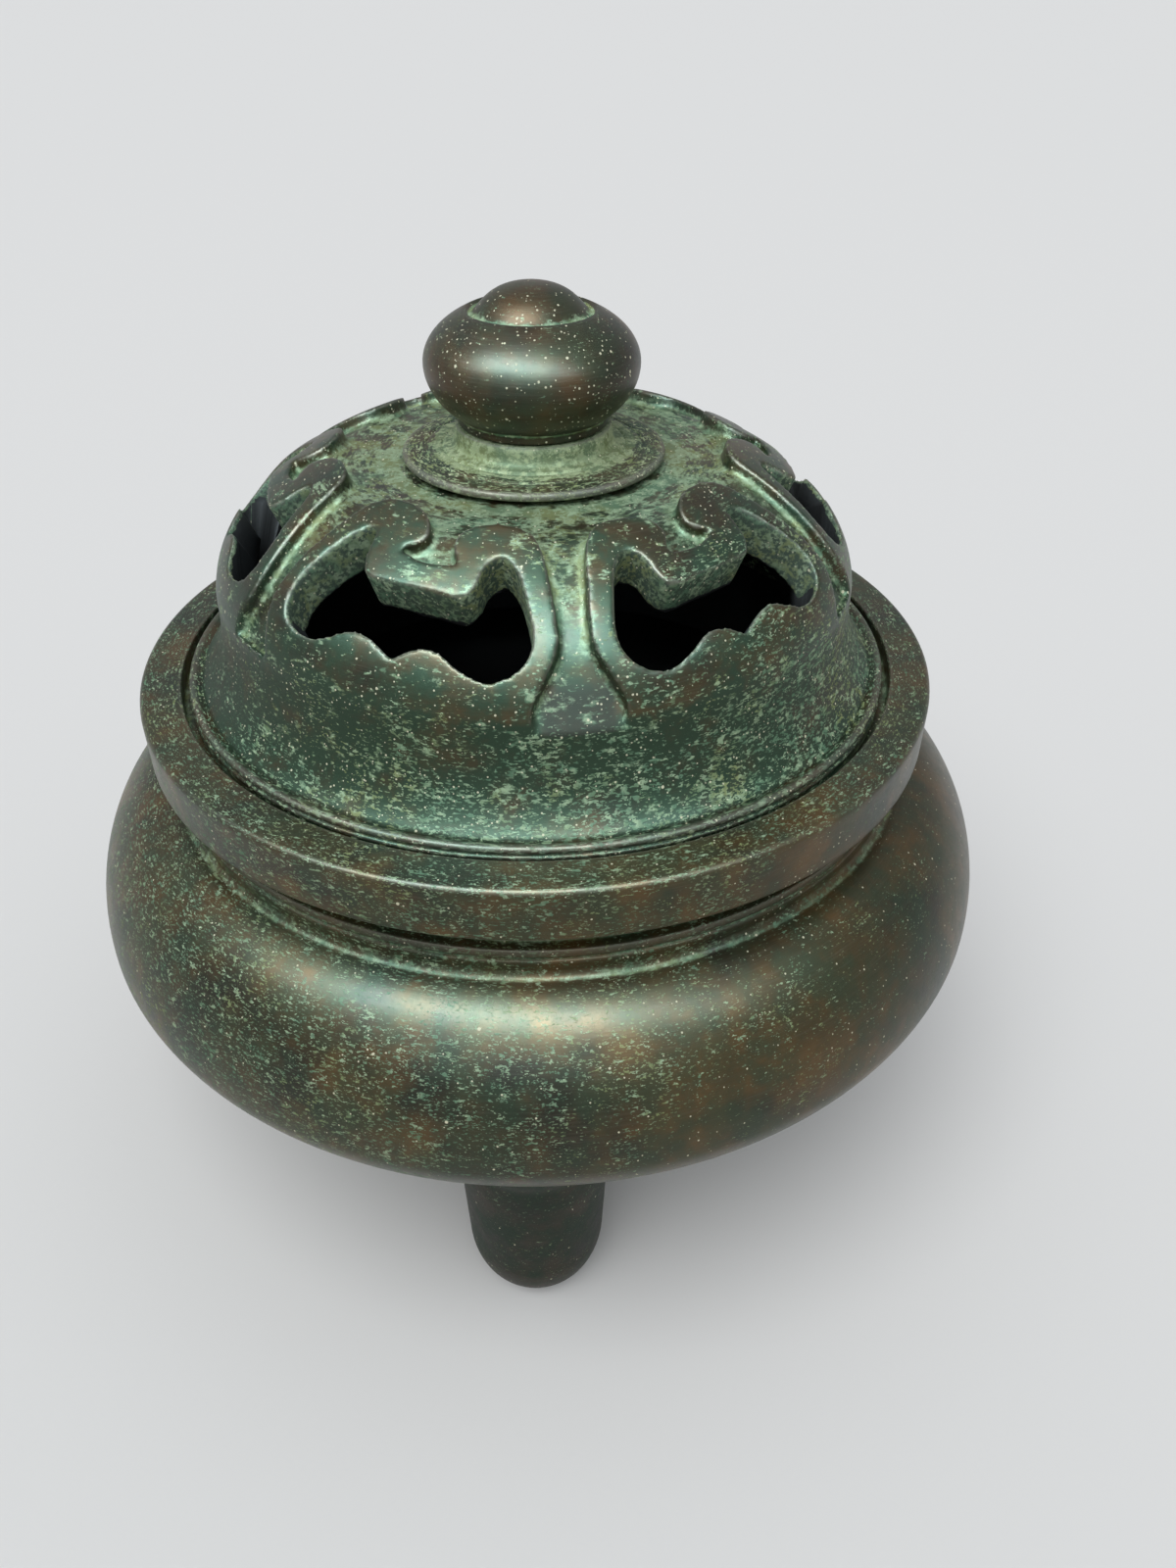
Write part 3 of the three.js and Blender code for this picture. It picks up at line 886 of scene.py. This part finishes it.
def markLid(bm, sizes):
    # sawn window walls, the sunk ground between the panels with the painted shade at the plain valleys'
    # feet, the skirt and the sooty inside
    names = ("cutWall", "skirt", "ground", "inside")
    wallLayer, skirtLayer, groundLayer, insideLayer = [bm.verts.layers.float.new(name) for name in names]
    windows = outlineWays(sizes, windowStretches)
    panels = outlineWays(sizes, panelStretches)
    ceiling = rimTop + sizes["hubHeight"] - sizes["hubWall"]
    width, height = sizes["curveWidth"], sizes["rise"]
    for point in bm.verts:
        flat = Vector((point.co.x, point.co.y, 0))
        across, over = flat.length - domeCentre[0], point.co.z - domeSpring
        rise = max(over, 0)
        outwards = flat.normalized() * across + Vector((0, 0, rise * (width / height) ** 2))
        facing = outwards.normalized().dot(point.normal)
        inset = (1 - math.hypot(across / width, rise / height)) * height
        way = (point.co - drawPoint).normalized()
        sawn = windows.find(way)[2] < panels.find(way)[2] * 0.8 and over > 2
        turn = motifTurn(sizes, point.co)
        point[wallLayer] = clamped(1.7 - 2.2 * abs(facing)) if sawn else 0.0
        point[groundLayer] = 0.0 if sawn else groundShare(sizes, inset, over, turn)
        point[skirtLayer] = clamped(skirtStart(sizes, turn) - point.co.z + 0.5)
        deep = facing < -0.4 or (point.normal.z < -0.4 and point.co.z < ceiling + 0.5)
        point[insideLayer] = 1.0 if deep else 0.0


def decimated(target, ratio, group=""):
    fewer = target.modifiers.new("fewer", "DECIMATE")
    fewer.vertex_group = group
    fewer.ratio = ratio
    return applied(target)


def thinned(bm, sizes):
    # the lid's hidden inside keeps only a share of its faces, then flat stretches give up some more
    group = bm.verts.layers.deform.verify()
    inside = bm.verts.layers.float["inside"]
    for point in bm.verts:
        alike = all(edge.other_vert(point)[inside] > 0.5 for edge in point.link_edges)
        point[group][0] = 1.0 if point[inside] > 0.5 and alike else 0.0
    target = holder(bm)
    target.vertex_groups.new(name="inside")
    lid = decimated(target, sizes["insideShare"], "inside")
    ratio = min(sizes["mostTriangles"] / triangles(lid), 1.0)
    return decimated(holder(lid), ratio)


def makeLidDome(sizes, finish):
    base = turned(lidProfile(sizes), sizes["steps"], longest=3.0)
    valleys = turned(valleyProfile(sizes), sizes["steps"], longest=4.0)
    valleys = withoutMotifs(valleys, sizes, panelStretches)
    lid = combined(base, valleys, "DIFFERENCE")
    lid = withoutMotifs(lid, sizes, windowStretches)
    bore = bmesh.new()
    hub = rimTop + sizes["hubHeight"]
    bmesh.ops.create_cone(bore, cap_ends=True, segments=48, radius1=sizes["boreRadius"],
                          radius2=sizes["boreRadius"], depth=sizes["boreDepth"],
                          matrix=Matrix.Translation((0, 0, hub)))
    lid = combined(lid, bore, "DIFFERENCE")
    lid = remeshed(lid, sizes["voxel"])
    smoothed(lid, sizes["softening"])
    print("lid remeshed:", triangles(lid), "triangles")
    markHollows(lid, sizes["voxel"])
    markLid(lid, sizes)
    lid = thinned(lid, sizes)
    print("lid:", triangles(lid), "triangles")
    return makePiece("lid_dome", lid, finish, "lid", ["lid"])


def makeLidFoot(sizes, finish):
    # the seat and the two beads under the skirt's crease
    bottom = nodeBox("lid")[0].z
    beadFoot = bottom + sizes["footHeight"]
    beadTop = beadFoot + sizes["beadHeight"]
    foot = sizes["footRadius"]
    lower, upper = sizes["lowerBead"], sizes["beadHeight"] / 2 - sizes["lowerBead"]
    inner = foot - sizes["footWidth"]
    soft, inset = sizes["softEdge"], sizes["seatPlay"]
    groove = beadTop - sizes["beadGroove"] - sizes["lapDepth"]
    profile = [(inner, bottom, soft), (foot - inset, bottom, soft), (foot - inset, beadFoot - inset)]
    profile += arc((foot - lower, beadFoot + lower), lower, lower, -70, 75, 8)
    profile += arc((foot - 1.2 * upper, beadTop - upper), upper, upper, -75, 110, 12)
    profile += [(foot - sizes["beadHeight"] - inset, groove, soft / 2), (inner, groove, soft)]
    bm = turned(profile, bowlSizes["steps"], closed=True, longest=0.6)
    return makePiece("lid_foot", bm, finish, "lid")


lidLook = {
    "flake": 1, "flecks": 0.85, "crowd": 0.1, "lean": (0.004, -0.002, -0.009), "spread": 0.74,
    "sparse": 0.035, "red": 0.4, "filmAndReflection": 1.0, "hollows": 0.9, "hollowGain": 1.0, "broadGain": 0.4,
    "edge": 0.12, "wear": 0.65, "dots": 0.6, "rough": 0.36, "brush": 0.5, "wax": 0.2, "halo": (15.6, 17),
}
lidFootLook = {**lidLook, "spread": 1.0, "flecks": 1.0, "wear": 0.3, "brush": 0.8}
makeLidDome(lidSizes, bronze("lid bronze", lidLook))
makeLidFoot(lidSizes, bronze("lid foot bronze", lidFootLook))


# Knob and its collar
collarSizes = {
    "edge": 0.85,
    "edgeRound": 0.35,
    "bandRadius": 12.9,
    "bandHeight": 0.18,
    "bandRise": 0.06,
    "ringRadius": 10.5,
    "ringHeight": 0.4,
    "ringRise": 0.15,
    "grooveWidth": 0.4,
    "grooveDepth": 0.14,
    "topRadius": 9.2,
    "undercutWidth": 1.6,
    "undercutHeight": 0.35,
    "boreRadius": 2.8,
    "steps": 160,
}
knobSizes = {
    "neckRadius": 8.7,
    "neckHeight": 0.9,
    "lowerDepth": 8.1,
    "upperDepth": 7,
    "nippleRadius": 6.9,
    "nippleHeight": 3.2,
    "nippleFlare": 0.3,
    "nippleSide": (-1.3, 0.9),
    "nippleCrown": 4.6,
    "groove": 0.45,
    "steps": 144,
}


def hairGroove(sizes, radius, height, rise):
    # a turned line, from its outer edge to its inner one
    width = sizes["grooveWidth"]
    return [(radius, height), (radius - width / 2, height - sizes["grooveDepth"], 0.08),
            (radius - width, height + rise)]


def makeKnobCollar(sizes, finish):
    low, high = nodeBox("knob_collar")
    radius, bottom, top = high.x, low.z, high.z
    edgeFoot = bottom + sizes["undercutHeight"]
    edgeTop = edgeFoot + sizes["edge"]
    neck = sizes["topRadius"]
    under, ring = radius - sizes["undercutWidth"], sizes["ringRadius"]
    profile = [(sizes["boreRadius"], bottom), (under, bottom, 0.1), (under, edgeFoot, 0.1)]
    profile += [(radius, edgeFoot, 0.3), (radius, edgeTop, sizes["edgeRound"])]
    profile += hairGroove(sizes, sizes["bandRadius"], edgeTop + sizes["bandHeight"], sizes["bandRise"])
    profile += hairGroove(sizes, ring + sizes["grooveWidth"], edgeTop + sizes["ringHeight"],
                          sizes["ringRise"])
    profile += sweep((ring - 0.3, edgeTop + 0.6), (neck + 0.2, edgeTop + 0.7),
                     (neck, edgeTop + 0.9), (neck, top - 0.5), 12)
    profile += [(neck - 0.2, top), (sizes["boreRadius"], top)]
    bm = turned(profile, sizes["steps"], closed=True, longest=0.5)
    return makePiece("knob_collar_disc", bm, finish, "lid", ["knob_collar"])


def makeKnob(sizes, finish):
    low, high = nodeBox("knob")
    radius, bottom = high.x, low.z
    neck = sizes["neckRadius"]
    neckTop = bottom + sizes["neckHeight"]
    neckTurn = math.degrees(math.acos(neck / radius))
    middle = neckTop + sizes["lowerDepth"] * math.sin(math.radians(neckTurn))
    lip = math.degrees(math.acos((sizes["nippleRadius"] + sizes["groove"]) / radius))
    shoulder = middle + sizes["upperDepth"] * math.sin(math.radians(lip))
    profile = [(0, bottom), (neck, bottom, 0.1)]
    profile += arc((0, middle), radius, sizes["lowerDepth"], -neckTurn, 0, 30)
    profile += arc((0, middle), radius, sizes["upperDepth"], 0, lip, 20)[1:]
    foot = Vector((sizes["nippleRadius"], shoulder - sizes["groove"]))
    top = Vector((0, foot.y + sizes["nippleHeight"]))
    profile += [tuple(foot)]
    start, side = Vector((-sizes["nippleFlare"], 0.1)), Vector(sizes["nippleSide"])
    profile += sweep(foot + start, foot + side, top + Vector((sizes["nippleCrown"], 0)), top, 24)
    bm = turned(profile, sizes["steps"], longest=0.6)
    return makePiece("knob_ball", bm, finish, "lid", ["knob"])


collarLook = {
    "flake": 0.8, "flecks": 0.9, "crowd": 0.12, "lean": (0, 0, 0), "spread": 0.3, "sparse": 0.05,
    "red": 0.3, "filmAndReflection": 1.0, "hollows": 0.8, "hollowGain": 1.0, "broadGain": 1.0, "edge": 0.16,
    "wear": 0.5, "dots": 0.4, "rough": 0.48, "brush": 0.6, "wax": 0.1, "halo": (7, 11),
    "colours": {"verdigris": (0.14, 0.20, 0.10), "pale": (0.37, 0.43, 0.24)},
}
knobLook = {
    "flake": 0.8, "flecks": 0.55, "crowd": 0.06, "lean": (0, 0, 0), "spread": 0.05, "sparse": 0.05,
    "red": 0.8, "filmAndReflection": 0.5, "hollows": 0.9, "hollowGain": 1.2, "broadGain": 0.4, "edge": 0.25,
    "wear": 0.2, "dots": 0.9, "rough": 0.4, "brush": 0.15, "wax": 0.2,
    "colours": {"dark": (0.014, 0.013, 0.007), "brown": (0.036, 0.026, 0.009),
                "red": (0.080, 0.040, 0.011)},
}
makeKnobCollar(collarSizes, bronze("collar bronze", collarLook))
makeKnob(knobSizes, bronze("knob bronze", knobLook))
print("knob made")


# Fastening under the lid: plain brass on the nodes as they are
brassLook = {
    "bright": (0.42, 0.33, 0.18),
    "tarnished": (0.16, 0.11, 0.06),
    "patch": 2.5,
    "mark": (5, 0.2),
}


def makeBrass(look):
    finish = Finish("fastener brass")
    tarnish = finish.rise(finish.cloud(look["patch"], 4, 2.0), 0.4, 0.7)
    colour = finish.mix(tarnish, look["bright"], look["tarnished"])
    marks = finish.rings(*look["mark"])
    bump = finish.node("Bump", {}, {"Strength": 0.3, "Distance": 0.05 * mm, "Height": marks})
    finish.set(Base_Color=colour, Roughness=tarnish * 0.25 + 0.35, Metallic=0.9, Normal=bump)
    return finish.material


fastenerBrass = makeBrass(brassLook)
for nodeName in ("knob_stud", "knob_washer", "knob_nut"):
    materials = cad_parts[nodeName].data.materials
    materials.clear()
    materials.append(fastenerBrass)
print("fastening finished")


# Floor, world and lamps

# the floor's reach is in metres, turns are in degrees
studio = {
    "floorReach": 12,
    "floorColour": (0.80, 0.80, 0.79, 1),
    "worldColour": (0.93, 0.96, 1.0, 1),
    "worldStrength": 0.52,
    "sunTurn": -25,
    "sunClimb": 62,
    "sunAngle": 50,
    "sunStrength": 1.5,
    "boxColour": (0.72, 0.90, 1.0),
    "aim": Vector((0, -20, 85)),
}
# soft boxes: place, width, height and glow
softBoxes = {
    "key": ((-26, -80, 204), 150, 56, 23),
    "wings": ((-14, -86, 210), 340, 60, 10),
    "front": ((0, -305, 224), 300, 110, 2.4),
}


def makeFloor():
    reach = studio["floorReach"]
    bm = bmesh.new()
    bmesh.ops.create_grid(bm, x_segments=1, y_segments=1, size=reach)
    mesh = bpy.data.meshes.new("floor")
    bm.to_mesh(mesh)
    bm.free()
    floor = bpy.data.objects.new("floor", mesh)
    scene.collection.objects.link(floor)
    material = bpy.data.materials.new("pale floor")
    material.use_nodes = True
    surface = material.node_tree.nodes["Principled BSDF"]
    surface.inputs["Base Color"].default_value = studio["floorColour"]
    surface.inputs["Roughness"].default_value = 0.9
    surface.inputs["Specular IOR Level"].default_value = 0.1
    mesh.materials.append(material)


def makeWorld():
    world = bpy.data.worlds.new("studio")
    world.use_nodes = True
    shade = world.node_tree.nodes["Background"]
    shade.inputs["Color"].default_value = studio["worldColour"]
    shade.inputs["Strength"].default_value = studio["worldStrength"]
    scene.world = world


def lookWay(turn, climb):
    flat = math.cos(math.radians(climb))
    return Vector((flat * math.sin(math.radians(turn)), -flat * math.cos(math.radians(turn)),
                   math.sin(math.radians(climb))))


def makeSun():
    # an even soft light from one side
    data = bpy.data.lights.new("sun", "SUN")
    data.angle = math.radians(studio["sunAngle"])
    data.energy = studio["sunStrength"]
    lamp = bpy.data.objects.new("sun", data)
    scene.collection.objects.link(lamp)
    way = lookWay(studio["sunTurn"], studio["sunClimb"])
    lamp.rotation_euler = way.to_track_quat("Z", "Y").to_euler()


def makeSoftBox(name, place, width, height, glow):
    # a rectangular soft box that faces the lid and shows only in the gloss
    data = bpy.data.lights.new(name, "AREA")
    data.shape = "RECTANGLE"
    data.size = width * mm
    data.size_y = height * mm
    data.energy = glow * math.pi * width * height * mm * mm
    data.color = studio["boxColour"]
    lamp = bpy.data.objects.new(name, data)
    scene.collection.objects.link(lamp)
    lamp.location = Vector(place) * mm
    way = Vector(place) - studio["aim"]
    lamp.rotation_euler = way.to_track_quat("Z", "Y").to_euler()
    lamp.visible_diffuse = False


makeFloor()
makeWorld()
makeSun()
for boxName, box in softBoxes.items():
    makeSoftBox(boxName, *box)
scene.view_settings.view_transform = "Standard"
print("stage set")
